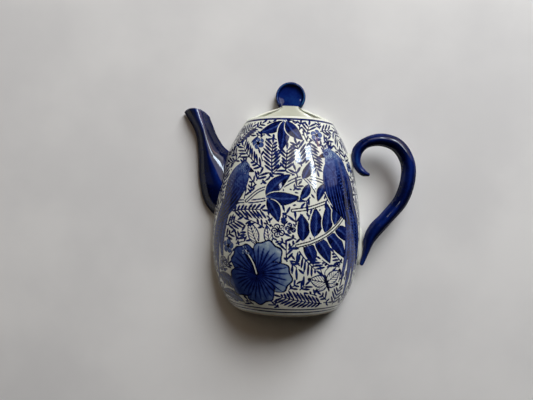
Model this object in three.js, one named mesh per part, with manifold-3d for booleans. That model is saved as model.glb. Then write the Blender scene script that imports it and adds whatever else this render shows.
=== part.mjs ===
// A wall pocket: a ceramic teapot made as one half of a pot on a flat back, open at the top, which hangs on a
// nail or stands on its foot. Millimetres, +Z up. The back lies on the plane Y = 0 and the front faces -Y, the
// spout is on the -X side and the handle on the +X side. Heights count from the foot, depths from the back.

import * as THREE from 'three';
import { mergeVertices } from 'three/addons/utils/BufferGeometryUtils.js';
import Module from 'manifold-3d';

const wasm = await Module();
wasm.setup();

// ---- driving dimensions -------------------------------------------------------------------------------------

const gap = 0.3;               // between any two pieces
const rimHeight = 156;         // top of the mouth's lip
const footHalfWidth = 42.5;
const bellyHalfWidth = 62;
const bellyHeight = 58.9;
const rimHalfWidth = 36.6;
const depthShare = 0.84;       // depth of the front, as a share of the half width at the same height
const wall = 4.5;              // front wall
const backWall = 6;            // flat back

const footHeight = 4;
const footWidth = 9;
const floorBottom = 9;
const floorTop = 14;
const lipHeight = 4;
const lipWidth = 5.4;

const hangingHoleHeight = 141;
const hangingHoleRadius = 4;

const neckHalfWidth = 8.4;     // half width of the lid where its slopes meet the neck
const neckTop = 168.1;
const lidThickness = 5;
const neckThickness = 3;
const knobRadius = 12.5;
const knobHeight = 176;        // centre of the knob's disc
const knobThickness = 8.5;
const knobDish = 2.6;          // how far the face is sunk

const spoutBackDepth = 1;
const spoutRootDepth = 20;
const spoutTipDepth = 13;
const spoutMouthShare = 0.04;  // length of the blind, glazed mouth, as a share of the spout
const spoutMouthInset = 3;

const scrollEnd = 0.14;        // shares of the handle's length, where its three pieces meet
const tailStart = 0.866;

const navyGlaze = { color: 0x15265a, roughness: 0.12 };
const creamGlaze = { color: 0xe6e6d8, roughness: 0.15 };
const paintedGlaze = { color: 0x8a92a8, roughness: 0.15 };
const bareCeramic = { color: 0xd8d2c2, roughness: 0.6 };

// ---- shapes -------------------------------------------------------------------------------------------------

const at = (x, depth, z) => new THREE.Vector3(x, -depth, z);
const steps = (count) => Array.from({ length: count + 1 }, (_, i) => i / count);

/** The half width of the body against its height: two round curves that meet at the belly. */
const profile = new THREE.CurvePath();
profile.add(new THREE.CubicBezierCurve(
  new THREE.Vector2(footHalfWidth, 0),
  new THREE.Vector2(footHalfWidth + 1.5, 0.5),
  new THREE.Vector2(bellyHalfWidth, bellyHeight - 42),
  new THREE.Vector2(bellyHalfWidth, bellyHeight),
));
profile.add(new THREE.CubicBezierCurve(
  new THREE.Vector2(bellyHalfWidth, bellyHeight),
  new THREE.Vector2(bellyHalfWidth, bellyHeight + 31.7),
  new THREE.Vector2(rimHalfWidth + 19.3, rimHeight - 27.7),
  new THREE.Vector2(rimHalfWidth, rimHeight - 1),
));

function halfWidthAt(height) {
  const curve = profile.curves[height < bellyHeight ? 0 : 1];
  let low = 0;
  let high = 1;
  for (let i = 0; i < 30; i += 1) {
    const middle = (low + high) / 2;
    if (curve.getPoint(middle).y < height) low = middle;
    else high = middle;
  }
  return curve.getPoint(low).x;
}

/** Swaps each triangle's winding where the mesh is inside out. */
function faceOutwards(geometry) {
  const corner = [new THREE.Vector3(), new THREE.Vector3(), new THREE.Vector3()];
  const { position } = geometry.attributes;
  const order = geometry.index.array;
  let volume = 0;
  for (let i = 0; i < order.length; i += 3) {
    corner.forEach((point, k) => point.fromBufferAttribute(position, order[i + k]));
    volume += corner[0].dot(corner[1].cross(corner[2]));
  }
  if (volume < 0) {
    for (let i = 0; i < order.length; i += 3) [order[i], order[i + 1]] = [order[i + 1], order[i]];
  }
  return geometry;
}

/** A closed body: a skin over a row of rings with equally many points, and a fan over each end. */
function loft(rings) {
  const around = rings[0].length;
  const points = rings.flat();
  const order = [];
  for (let r = 0; r + 1 < rings.length; r += 1) {
    for (let i = 0; i < around; i += 1) {
      const a = r * around + i;
      const b = r * around + ((i + 1) % around);
      order.push(a, b, b + around, a, b + around, a + around);
    }
  }
  for (const [first, turned] of [[0, true], [(rings.length - 1) * around, false]]) {
    const ring = points.slice(first, first + around);
    const middle = points.length;
    points.push(ring.reduce((sum, p) => sum.add(p), new THREE.Vector3()).divideScalar(around));
    for (let i = 0; i < around; i += 1) {
      const a = first + i;
      const b = first + ((i + 1) % around);
      order.push(...(turned ? [b, a, middle] : [a, b, middle]));
    }
  }
  const geometry = new THREE.BufferGeometry().setFromPoints(points);
  geometry.setIndex(order);
  return faceOutwards(geometry);
}

function toManifold(geometry) {
  const bare = geometry.clone();
  bare.deleteAttribute('normal');
  bare.deleteAttribute('uv');
  const merged = faceOutwards(mergeVertices(bare));
  return new wasm.Manifold(new wasm.Mesh({
    numProp: 3,
    vertProperties: new Float32Array(merged.attributes.position.array),
    triVerts: new Uint32Array(merged.index.array),
  }));
}

function toGeometry(solid) {
  const mesh = solid.getMesh();
  const geometry = new THREE.BufferGeometry();
  geometry.setAttribute('position', new THREE.BufferAttribute(mesh.vertProperties, 3));
  geometry.setIndex(new THREE.BufferAttribute(mesh.triVerts, 1));
  geometry.computeVertexNormals();
  return geometry;
}

const cut = (geometry, ...cutters) => toGeometry(
  cutters.reduce((solid, cutter) => solid.subtract(toManifold(cutter)), toManifold(geometry)),
);
const common = (geometry, other) => toGeometry(toManifold(geometry).intersect(toManifold(other)));

/** A box between two depths and two heights, wider than the object. */
function slab(depthFrom, depthTo, bottom, top) {
  const box = new THREE.BoxGeometry(400, depthTo - depthFrom, top - bottom);
  return box.translate(0, -(depthFrom + depthTo) / 2, (bottom + top) / 2);
}

/** The body between two heights, shrunk by an inset, with its flat back at a depth: a pile of D outlines. */
function bodySolid({ bottom, top, inset = 0, back = 0 }) {
  const rows = Math.max(1, Math.ceil((top - bottom) / 7));
  return loft(steps(rows).map((v) => {
    const height = bottom + (top - bottom) * v;
    const width = halfWidthAt(Math.min(Math.max(height, 0), rimHeight));
    const depth = depthShare * width - inset;
    const start = Math.asin(back / depth);
    return steps(40).map((u) => {
      const angle = start + (Math.PI - 2 * start) * u;
      return at((width - inset) * Math.cos(angle), depth * Math.sin(angle), height);
    });
  }));
}

/** What the pieces outside the body are cut back to, so that they keep their gap to it. */
const bodyClearance = bodySolid({ bottom: -1, top: rimHeight, inset: -gap, back: 0 });

// ---- body ---------------------------------------------------------------------------------------------------

function frontShell() {
  const outside = bodySolid({ bottom: footHeight + gap, top: rimHeight - lipHeight - gap, back: backWall + gap });
  return cut(outside, bodySolid({ bottom: -1, top: rimHeight, inset: wall, back: backWall - 2 }));
}

function backPlate() {
  const plate = common(
    bodySolid({ bottom: footHeight + gap, top: rimHeight }),
    slab(-1, backWall, 0, rimHeight + 1),
  );
  const hole = new THREE.CylinderGeometry(hangingHoleRadius, hangingHoleRadius, 3 * backWall, 24);
  return cut(plate, hole.translate(0, 0, hangingHoleHeight));
}

function pocketFloor() {
  return bodySolid({ bottom: floorBottom, top: floorTop, inset: wall + gap, back: backWall + gap });
}

function footRing() {
  return cut(
    bodySolid({ bottom: 0, top: footHeight }),
    bodySolid({ bottom: -1, top: footHeight + 1, inset: footWidth, back: footWidth }),
  );
}

/** The rounded edge of the mouth: a flat-bottomed bead that follows the top of the front wall. */
function mouthLip() {
  const width = rimHalfWidth - wall / 2;
  const depth = depthShare * rimHalfWidth - wall / 2;
  const bottom = rimHeight - lipHeight;
  const bead = loft(steps(40).map((v) => {
    const angle = Math.PI * v;
    const out = new THREE.Vector2(Math.cos(angle) / width, Math.sin(angle) / depth).normalize();
    const point = (side, height) => at(
      width * Math.cos(angle) + out.x * side,
      depth * Math.sin(angle) + out.y * side,
      height,
    );
    const top = steps(8).map((u) => point(
      lipWidth / 2 * Math.cos(Math.PI * u),
      bottom + 1.4 + (lipHeight - 1.4) * Math.sin(Math.PI * u),
    ));
    return [point(lipWidth / 2, bottom), ...top, point(-lipWidth / 2, bottom)];
  }));
  return common(bead, slab(backWall + gap, 80, bottom - 1, rimHeight + 1));
}

// ---- lid ----------------------------------------------------------------------------------------------------

/** The lid stands on the back plate as a flat silhouette: two slopes that rise to the neck. */
function lidPanel() {
  const foot = rimHeight + gap;
  const outline = new THREE.Shape();
  outline.moveTo(rimHalfWidth, foot);
  outline.quadraticCurveTo(rimHalfWidth - 9, foot + 5.3, neckHalfWidth, neckTop - 0.4);
  outline.lineTo(-neckHalfWidth, neckTop - 0.4);
  outline.quadraticCurveTo(9 - rimHalfWidth, foot + 5.3, -rimHalfWidth, foot);
  const plate = new THREE.ExtrudeGeometry(outline, { depth: lidThickness, bevelEnabled: false });
  return plate.rotateX(Math.PI / 2);
}

/** A raised strip down the middle of the lid, flaring out to the mouth. */
function lidNeck() {
  const foot = rimHeight + gap;
  const outline = new THREE.Shape();
  outline.moveTo(neckHalfWidth, neckTop);
  outline.lineTo(-neckHalfWidth, neckTop);
  outline.quadraticCurveTo(-neckHalfWidth, foot + 7, -neckHalfWidth - 9, foot);
  outline.lineTo(neckHalfWidth + 9, foot);
  outline.quadraticCurveTo(neckHalfWidth, foot + 7, neckHalfWidth, neckTop);
  const strip = new THREE.ExtrudeGeometry(outline, { depth: neckThickness, bevelEnabled: false });
  return strip.rotateX(Math.PI / 2).translate(0, -lidThickness - gap, 0);
}

/** A disc with a sunken face and a rounded edge, cut flat where it sits on the neck. */
function lidKnob() {
  const edge = new THREE.Path();
  edge.moveTo(0, 0);
  edge.lineTo(knobRadius - 2, 0);
  edge.quadraticCurveTo(knobRadius, 0, knobRadius, knobThickness / 2);
  edge.quadraticCurveTo(knobRadius, knobThickness, knobRadius - 2, knobThickness);
  edge.quadraticCurveTo(knobRadius - 4, knobThickness - knobDish, 0, knobThickness - knobDish);
  const disc = new THREE.LatheGeometry(edge.getPoints(5), 48);
  disc.rotateX(Math.PI);
  disc.translate(0, 0, knobHeight);
  return common(disc, slab(-1, knobThickness + 1, neckTop + gap, knobHeight + knobRadius + 1));
}

// ---- spout --------------------------------------------------------------------------------------------------

/** The spout's two outlines, as X and height: the outer one from its foot and the inner one from the body. */
const spoutOuter = new THREE.SplineCurve([
  new THREE.Vector2(-56, 70),
  new THREE.Vector2(-69.5, 86),
  new THREE.Vector2(-74.8, 106),
  new THREE.Vector2(-76.6, 129),
  new THREE.Vector2(-79.8, 145.6),
  new THREE.Vector2(-89.4, 161.8),
]);
const spoutInner = new THREE.SplineCurve([
  new THREE.Vector2(-38, 110),
  new THREE.Vector2(-46, 125.5),
  new THREE.Vector2(-54.8, 133.6),
  new THREE.Vector2(-61.4, 143.6),
  new THREE.Vector2(-65.2, 153),
  new THREE.Vector2(-67.6, 161.2),
]);

/** A row of half-round sections from the body to the tip, shrunk by an inset and risen by a lift. */
function spoutSolid(from, inset, lift) {
  return loft(steps(22).map((v) => {
    const along = from + (1 - from) * v;
    const outer = spoutOuter.getPoint(along);
    const inner = spoutInner.getPoint(along);
    const middle = outer.clone().add(inner).divideScalar(2);
    const half = inner.clone().sub(outer).divideScalar(2);
    const share = 1 - inset / half.length();
    const depth = THREE.MathUtils.lerp(spoutRootDepth, spoutTipDepth, along ** 0.7) - inset;
    return steps(20).map((u) => {
      const angle = Math.PI * u;
      const side = Math.sign(Math.cos(angle)) * Math.abs(Math.cos(angle)) ** 1.3 * share;
      const front = spoutBackDepth + inset + (depth - spoutBackDepth - inset) * Math.sin(angle) ** 1.3;
      return at(middle.x + half.x * side, front, middle.y + half.y * side + lift);
    });
  }));
}

function spout() {
  const mouth = spoutSolid(1 - spoutMouthShare, spoutMouthInset, 0.01);
  return cut(spoutSolid(0, 0, 0), bodyClearance, mouth);
}

// ---- handle -------------------------------------------------------------------------------------------------

/** The handle from the tip of its scroll, over the arch, to its tail: X, height, depth and radius. */
const handlePoints = [
  [64.2, 112.9, 17, 1.5],
  [60.4, 114.2, 17, 2.8],
  [56.6, 117.8, 17, 3.1],
  [54.2, 124, 17, 3.6],
  [55.4, 132.2, 17, 4.4],
  [62.4, 138.8, 17, 4.4],
  [74.4, 141.3, 17, 5.2],
  [87.3, 136.9, 17, 5.7],
  [95.6, 124.6, 17, 5.8],
  [96.6, 110, 17, 6],
  [91.6, 93.2, 17, 5.9],
  [80.6, 78.8, 17, 5.6],
  [71.8, 68.6, 16.5, 5.9],
  [67.6, 60.5, 15, 4.8],
  [65.7, 52, 14, 2.8],
  [64.2, 45.5, 13, 2.1],
  [62.3, 39.9, 12.5, 1.6],
];
const handleLine = new THREE.CatmullRomCurve3(handlePoints.map(([x, z, depth]) => at(x, depth, z)));
const handleRadii = new THREE.SplineCurve(handlePoints.map(([, , , radius], i) => new THREE.Vector2(i, radius)));

/** The handle between two shares of its length, with round sections that stay square to its line. */
function handleLength(from, to, rows, grow = 0) {
  const forward = new THREE.Vector3(0, -1, 0);
  return loft(steps(rows).map((v) => {
    const along = from + (to - from) * v;
    const centre = handleLine.getPointAt(along);
    const tangent = handleLine.getTangentAt(along);
    const side = tangent.clone().cross(forward).normalize();
    const front = side.clone().cross(tangent);
    const radius = handleRadii.getPoint(handleLine.getUtoTmapping(along)).y + grow;
    return steps(14).slice(1).map((u) => {
      const angle = 2 * Math.PI * u;
      return centre.clone()
        .addScaledVector(side, radius * Math.cos(angle))
        .addScaledVector(front, radius * Math.sin(angle));
    });
  }));
}

const halfGap = gap / 2 / handleLine.getLength();
const handleArch = () => cut(handleLength(scrollEnd + halfGap, tailStart - halfGap, 40), bodyClearance);
const handleScroll = () => cut(handleLength(0, scrollEnd - halfGap, 12), bodyClearance);
const handleTail = () => cut(handleLength(tailStart + halfGap, 1, 10), bodyClearance);

/** A lump of slip between the handle and the body. */
function slipPad(x, height, depth, halfWidth, halfHeight, halfDepth, from, to) {
  const pad = new THREE.SphereGeometry(1, 20, 14).scale(halfWidth, halfDepth, halfHeight);
  return cut(pad.translate(x, -depth, height), bodyClearance, handleLength(from, to, 24, gap));
}

const upperPad = () => slipPad(50.5, 121, 17, 6.5, 8.5, 8, 0, 0.3);
const lowerPad = () => slipPad(59.5, 55, 12, 5.5, 17, 8, 0.75, 1);

// ---- assembly -----------------------------------------------------------------------------------------------

const pieces = {
  front_shell: [frontShell, paintedGlaze],
  back_wall: [backPlate, creamGlaze],
  pocket_floor: [pocketFloor, creamGlaze],
  foot_ring: [footRing, bareCeramic],
  mouth_lip: [mouthLip, creamGlaze],
  lid_panel: [lidPanel, creamGlaze],
  lid_neck: [lidNeck, creamGlaze],
  lid_knob: [lidKnob, navyGlaze],
  spout: [spout, navyGlaze],
  handle_arch: [handleArch, navyGlaze],
  handle_scroll: [handleScroll, navyGlaze],
  handle_tail: [handleTail, navyGlaze],
  handle_upper_pad: [upperPad, creamGlaze],
  handle_lower_pad: [lowerPad, creamGlaze],
};

const pot = new THREE.Group();
for (const [name, [shape, glaze]] of Object.entries(pieces)) {
  const mesh = new THREE.Mesh(shape(), new THREE.MeshStandardMaterial({ metalness: 0, ...glaze }));
  mesh.name = name;
  pot.add(mesh);
}

// The origin is under the middle of the whole object, on the surface it stands on.
const box = new THREE.Box3().setFromObject(pot);
const middle = box.getCenter(new THREE.Vector3());
pot.position.set(-middle.x, -middle.y, -box.min.z);

export default pot;
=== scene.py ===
"""A teapot wall pocket in blue and white glazed ware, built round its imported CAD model.

It is half a teapot on a flat back. Each piece is worked out in the pot's own millimetres: across from its
middle line towards the handle, out from the flat back, and up from the foot. place() puts it into the frame.
"""

import math
import random

import bmesh
import bpy
import numpy as np
from mathutils import Matrix, Vector


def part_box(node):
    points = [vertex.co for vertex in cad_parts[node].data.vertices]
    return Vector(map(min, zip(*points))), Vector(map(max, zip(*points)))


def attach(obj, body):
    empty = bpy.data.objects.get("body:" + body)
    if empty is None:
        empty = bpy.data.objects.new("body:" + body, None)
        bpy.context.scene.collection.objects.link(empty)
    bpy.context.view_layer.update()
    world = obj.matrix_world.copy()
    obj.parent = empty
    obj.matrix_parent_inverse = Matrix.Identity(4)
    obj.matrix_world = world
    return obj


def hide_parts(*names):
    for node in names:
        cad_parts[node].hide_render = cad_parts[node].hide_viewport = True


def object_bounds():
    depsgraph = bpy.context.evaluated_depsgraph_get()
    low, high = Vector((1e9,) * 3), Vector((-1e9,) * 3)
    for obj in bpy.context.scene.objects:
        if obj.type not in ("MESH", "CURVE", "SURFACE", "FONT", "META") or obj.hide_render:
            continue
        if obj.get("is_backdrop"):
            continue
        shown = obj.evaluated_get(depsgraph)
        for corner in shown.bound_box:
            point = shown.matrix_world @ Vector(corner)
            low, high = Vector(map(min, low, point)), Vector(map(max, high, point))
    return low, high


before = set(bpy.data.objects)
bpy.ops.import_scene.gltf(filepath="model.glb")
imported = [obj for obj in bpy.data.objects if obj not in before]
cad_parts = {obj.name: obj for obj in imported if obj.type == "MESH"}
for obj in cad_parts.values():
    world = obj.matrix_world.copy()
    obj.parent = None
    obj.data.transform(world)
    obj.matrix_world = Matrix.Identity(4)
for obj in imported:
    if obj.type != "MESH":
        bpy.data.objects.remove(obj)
cad_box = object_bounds()
scene = bpy.context.scene

# ---- sizes from the frame, in millimetres ----

MM = 0.001
back_low, back_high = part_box("back_wall")
MIDDLE_X = (back_low.x + back_high.x) / 2
BACK_Y = back_high.y
FOOT_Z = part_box("foot_ring")[0].z
BELLY = (back_high.x - back_low.x) / 2 / MM    # half width at the widest
RIM_HEIGHT = (back_high.z - FOOT_Z) / MM

BELLY_HEIGHT = 58.9
FOOT = 42.5             # half width at the foot
RIM = 36.6              # half width at the mouth
DEPTH_SHARE = 0.84      # depth of the front, as a share of the half width at the same height
WALL = 4.5
BACK_WALL = 6.0


def at(across, out, up):
    """Points from how far across, out and up they are; each may be one number for all of them."""
    return np.stack(np.broadcast_arrays(across, out, up), -1)


def place(points):
    """Millimetres across, out and up become metres in the frame."""
    p = np.asarray(points, float) * MM
    return at(MIDDLE_X + p[..., 0], BACK_Y - p[..., 1], FOOT_Z + p[..., 2])


def bezier(ends, count):
    """Points on a curve from its three or four control points."""
    t = np.linspace(0, 1, count)[:, None]
    layer = np.array(ends, float)[:, None]
    while len(layer) > 1:
        layer = (1 - t) * layer[:-1] + t * layer[1:]
    return layer[0]


# The half width of the body against its height: two round curves that meet at the belly.
BODY_R, BODY_Z = np.vstack([
    bezier([(FOOT, 0), (FOOT + 1.5, 0.5), (BELLY, BELLY_HEIGHT - 42), (BELLY, BELLY_HEIGHT)], 500)[:-1],
    bezier([(BELLY, BELLY_HEIGHT), (BELLY, BELLY_HEIGHT + 31.7), (RIM + 19.3, RIM_HEIGHT - 27.7),
            (RIM, RIM_HEIGHT - 1)], 500),
]).T
# The way up the front, along the wall, to each of those points.
BODY_V = np.append(0, np.cumsum(np.hypot(np.diff(BODY_R) * DEPTH_SHARE, np.diff(BODY_Z))))
# The way round a section, from the handle's side, as a share of the half width.
TURN = np.linspace(0, np.pi, 1441)
ROUND = np.append(0, np.cumsum(np.hypot(np.diff(np.cos(TURN)), np.diff(DEPTH_SHARE * np.sin(TURN)))))


def curve(points, step=0.4):
    """A Catmull-Rom curve through points that may have more than two numbers each."""
    p = np.asarray(points, float)
    p = np.vstack([2 * p[0] - p[1], p, 2 * p[-1] - p[-2]])
    out = []
    for a, b, c, d in zip(p, p[1:], p[2:], p[3:]):
        t = np.linspace(0, 1, max(2, int(np.hypot(*(c - b)[:2]) / step)), endpoint=False)[:, None]
        bow, twist = 2 * a - 5 * b + 4 * c - d, 3 * b - a - 3 * c + d
        out.append(0.5 * (2 * b + (c - a) * t + bow * t**2 + twist * t**3))
    return np.vstack([*out, p[-2:-1]])


def toward(angle, length=1.0):
    """A step in a direction, in two numbers."""
    return length * np.array([math.cos(angle), math.sin(angle)])


def full_turn(count):
    return np.linspace(0, 2 * np.pi, count, endpoint=False)


def unit(vectors):
    return vectors / np.hypot(*vectors.T)[..., None]


def ease(value):
    value = np.clip(value, 0, 1)
    return value * value * (3 - 2 * value)


def bulge(value, power):
    """A number between -1 and 1 to a power, with its sign kept."""
    return np.sign(value) * np.abs(value) ** power


# ---- painting ----
# The front is painted flat, as if unrolled: U runs from the middle towards the handle, V up from the foot.

CELL = 0.25
PAINT_REACH = 92.0
PAINT_HEIGHT = 163.0
# Tones of the cobalt, from its darkest to its palest, and what they look like.
INK, DEEP, MID, SOFT, PALE = 0.18, 0.0, 0.35, 0.6, 0.9
INK_STOPS = ((0.0, "020520"), (0.12, "0a1246"), (0.35, "182a6c"), (0.6, "3d548e"), (0.9, "869bb0"),
             (1.0, "b0bec4"))

cover = np.zeros((round(PAINT_HEIGHT / CELL), round(2 * PAINT_REACH / CELL)))
tone = np.full(cover.shape, INK)
GRID_U, GRID_V = np.meshgrid((np.arange(cover.shape[1]) + 0.5) * CELL - PAINT_REACH,
                             (np.arange(cover.shape[0]) + 0.5) * CELL)
taken = np.zeros(cover.shape, bool)     # where nothing more may be painted
fresh = np.zeros(cover.shape, bool)     # what the motif in hand has covered so far


def window(points, margin):
    """The part of the canvas round some points: its slices and the U and V of each cell."""
    corners = np.array([np.min(points, axis=0) - margin, np.max(points, axis=0) + margin])
    cells = np.maximum((corners + (PAINT_REACH, 0)) / CELL + [[0], [1]], 0).astype(int)
    area = slice(*cells[:, 1]), slice(*cells[:, 0])
    return area, GRID_U[area], GRID_V[area]


def lay(area, distance, shade=INK, halo=0.0, erase=False):
    """Fills where the distance to a shape's edge is negative, with a cream halo, or wipes it clean."""
    if halo:
        cover[area] *= 1 - np.clip(0.5 - (distance - halo) / 0.4, 0, 1)
    full = np.clip(0.5 - distance / 0.4, 0, 1)
    cover[area] *= 1 - full
    if not erase:
        cover[area] += full
        tone[area] = np.where(distance < 0.5, shade, tone[area])
    fresh[area] |= distance < 0.5


def settle():
    """Closes the motif in hand: what follows keeps clear of it."""
    taken[fresh] = True
    fresh[:] = False


def half_pattern(v):
    """How far the painting reaches to each side at a height."""
    return np.interp(v, (0, 14, 40, 70, 100, 130, 162), (60, 68, 79, 80, 74, 65, 56))


def random_spot(rng):
    v = rng.uniform(11, 157)
    return np.array([rng.uniform(-1, 1) * half_pattern(v), v])


def is_free(u, v):
    """Whether a spot is inside the painting and clear of the motifs before."""
    inside = 10.5 < v < 158.5 and abs(u) <= half_pattern(v)
    return inside and not taken[int(v / CELL), int((u + PAINT_REACH) / CELL)]


def swell(count, taper):
    """A stroke's width along it, as shares of its middle's; taper gives those of its two ends."""
    return np.interp(np.linspace(0, 1, count), [0, 0.35, 0.65, 1], [taper[0], 1, 1, taper[1]])


def ribbon(points, width, shade=INK, halo=0.0, erase=False, taper=(1, 1)):
    """A brush stroke along a curve."""
    line = curve(points)
    area, u, v = window(line, width + 2)
    distance = np.full(u.shape, 99.0)
    for (x, y), r in zip(line, width / 2 * swell(len(line), taper)):
        distance = np.minimum(distance, np.hypot(u - x, v - y) - r)
    lay(area, distance, shade, halo, erase)


def outlined(points, width, shade=INK, halo=0.8, pale=0.42):
    """A pale stem between two dark lines."""
    ribbon(points, width, shade, halo)
    ribbon(points, width * pale, erase=True)


def leaf_frame(base, tip, bend, half, fullness=0.8, point=0.85, margin=2.0):
    """Cells round a leaf: how far along it and across it they are, and the distance to its edge."""
    base, tip = np.array(base, float), np.array(tip, float)
    length = np.hypot(*(tip - base))
    ahead = (tip - base) / length
    side = np.array([-ahead[1], ahead[0]])
    middle = (base + tip) / 2 + side * bend
    reach = half + margin
    area, u, v = window([base, tip, middle + side * reach, middle - side * reach], margin)
    along = ((u - base[0]) * ahead[0] + (v - base[1]) * ahead[1]) / length
    t = np.clip(along, 0, 1)
    across = (u - base[0]) * side[0] + (v - base[1]) * side[1] - bend * 4 * t * (1 - t)
    edge = half * np.sin(np.pi * t**fullness) ** point
    distance = np.maximum(np.abs(across) - edge, np.maximum(-along, along - 1) * length)
    return area, t * length, across, distance


def leaf(base, tip, half, bend=0.0):
    """A pointed leaf with slanting veins, a pale midrib and one half paler than the other."""
    area, along, across, distance = leaf_frame(base, tip, bend, half)
    veins = np.abs((along - np.abs(across) * 1.4) % 2.3 - 1.15) < 0.33
    shading = 0.04 + 0.1 * (across > 0) + 0.26 * veins * (np.abs(across) > 0.5)
    lay(area, distance, np.where(distance > -0.5, DEEP, shading), 0.8)
    lay(area, np.maximum(np.abs(across) - 0.16, along - 0.86 * along.max()), MID + 0.12)


def open_leaf(base, tip, half):
    """A leaf drawn as an outline with a midrib and a few veins."""
    area, along, across, distance = leaf_frame(base, tip, 0.0, half)
    lay(area, distance, INK, 0.7)
    lay(area, distance + 0.9, erase=True)
    inside = distance + 0.8
    stripes = np.abs((along - np.abs(across) * 1.2) % 2.6 - 1.3) - 0.3
    lay(area, np.maximum(inside, stripes), MID)
    lay(area, np.maximum(inside, np.abs(across) - 0.3), INK)


def bud(base, tip, half):
    """A small leaf in outline, with its midrib."""
    area, along, across, distance = leaf_frame(base, tip, 0.0, half)
    lay(area, distance, INK)
    lay(area, distance + 0.85, erase=True)
    lay(area, np.maximum(np.abs(across) - 0.3, along - 0.7 * along.max()), INK)


def touch(base, angle, length, width):
    """One small leaf, a single touch of the brush."""
    area, _, _, distance = leaf_frame(base, base + toward(angle, length), 0.0, width / 2, 1.15, 0.6, 1.2)
    lay(area, distance, INK)


STEM_STEP = 0.5
LEAN = math.radians(46)     # between a sprig's leaves and its stem


def sprig(start, heading, length, curl, size=10.0):
    """A fern sprig: a curved stem with pairs of small leaves that lean forward, as far as there is room."""
    angle = math.radians(heading)
    steps = int(length / STEM_STEP)
    line = [np.array(start, float)]
    while len(line) < steps and is_free(*(line[-1] + toward(angle, size * 0.5))):
        line.append(line[-1] + toward(angle, STEM_STEP))
        angle += math.radians(curl) / steps
    if len(line) < 9 or not is_free(*start):
        return
    ribbon(line[::4], 0.85, taper=(1.3, 0.7))
    width = 0.85 + size * 0.095
    count = int(len(line) * STEM_STEP / (0.9 + size * 0.2))
    for i in range(count):
        k = min(int((i + 0.4) / count * len(line)), len(line) - 2)
        ahead = math.atan2(*(line[k + 1] - line[k])[::-1])
        reach = size * (0.62 + 0.38 * math.sin(math.pi * (0.15 + 0.75 * i / count)))
        for lean in (ahead - LEAN, ahead + LEAN):
            room = [r for r in (1, 0.85, 0.7, 0.55, 0.4) if is_free(*(line[k] + toward(lean, reach * r)))]
            if room:
                touch(line[k], lean, reach * room[0], width)
    touch(line[-1], ahead, size * 0.6, width)
    settle()


def fill_gaps(rng, tries, size, longest):
    """Sprigs in whatever room is left."""
    for _ in range(tries):
        spot = random_spot(rng)
        heading = rng.uniform(20, 160) if rng.random() < 0.75 else rng.uniform(0, 360)
        sprig(spot, heading, rng.uniform(0.55, 1) * longest, rng.uniform(-50, 50), size)


def fill_spots(rng, tries, length, width, as_buds=False):
    """Single strokes, or buds, in the last bare spots."""
    for _ in range(tries):
        spot = random_spot(rng)
        angle = rng.uniform(0, math.pi)
        reach = toward(angle, length)
        across = 0.8 * width * np.array([-math.sin(angle), math.cos(angle)])
        if all(is_free(*(spot + reach * k + across * side)) for k in (0, 0.5, 1) for side in (-1, 1)):
            if as_buds:
                bud(spot, spot + reach, width / 2)
            else:
                touch(spot, angle, length, width)
            settle()


def petal(centre, heading, radius, spread, pale, ruffle):
    """A broad petal of the big flower: dark veins run out from its heart and fade towards a paler edge."""
    area, u, v = window([centre], radius + 2)
    out = np.hypot(u - centre[0], v - centre[1])
    swing = np.arctan2(v - centre[1], u - centre[0]) - math.radians(heading)
    swing = (swing + np.pi) % (2 * np.pi) - np.pi
    share = np.clip(np.abs(swing) / math.radians(spread), 0, 1)
    edge = radius * np.cos(share * np.pi / 2) ** 0.34 * (1 + 0.035 * np.sin(swing * 15 + ruffle))
    distance = (out - edge) * 0.8
    t = np.clip(out / radius, 0, 1)
    wave = np.abs(np.sin(swing * 15 + 0.3 * np.sin(out * 0.3 + ruffle)))
    reach = 0.86 + 0.1 * np.sin(swing * 30 + ruffle)
    vein = np.clip((0.84 * (1 - np.clip(t / reach, 0, 1) ** 2.5) - wave) / 0.2, 0, 1)
    washed = np.clip((t - 0.4) / 0.55, 0, 1) ** 1.2
    shading = 0.46 + (pale - 0.46) * washed - 0.3 * np.clip(1 - t / 0.35, 0, 1)
    shading = np.where(distance > -1.0, 0.03, shading * (1 - 0.98 * vein))
    lay(area, distance, shading, 0.3)


def big_flower(centre, radius):
    """Five broad petals, a long pale style and a cluster of pollen dots at its end."""
    for heading, spread, pale, size in (
            (138, 52, 0.52, 0.98), (62, 51, 1.0, 1.02), (352, 52, 0.95, 1.02), (282, 52, 0.62, 0.97),
            (212, 53, 0.5, 1.0)):
        petal(centre, heading, radius * size, spread, pale, heading * 0.7)
    tip = np.add(centre, (-9.5, 17))
    outlined([centre, np.add(centre, (-3, 8)), tip], 2.2, DEEP, 0.0, 0.5)
    for k in range(9):
        spot = tip + toward(math.radians(60 + k * 33), 1.4 + 0.9 * (k % 3))
        dot(spot, 0.85, DEEP)
        dot(spot, 0.4, PALE)


def dot(centre, radius, shade=INK, halo=0.0, erase=False):
    area, u, v = window([centre], radius + 2)
    lay(area, np.hypot(u - centre[0], v - centre[1]) - radius, shade, halo, erase)


def blossom(centre, radius, turn, filled):
    """A small round flower: five outlined petals round a dark eye."""
    for k in range(5):
        a = turn + 2 * math.pi * k / 5
        spot = centre + toward(a, radius * 0.62)
        dot(spot, radius * 0.5, INK, 0.5)
        if filled:
            dot(spot, radius * 0.5 - 0.7, SOFT)
        else:
            dot(spot, radius * 0.5 - 0.95, erase=True)
            touch(centre, a, radius * 0.85, 1.0)
    dot(centre, radius * 0.24, DEEP)


SCALE = 2.6             # length of a bird's scales


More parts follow.
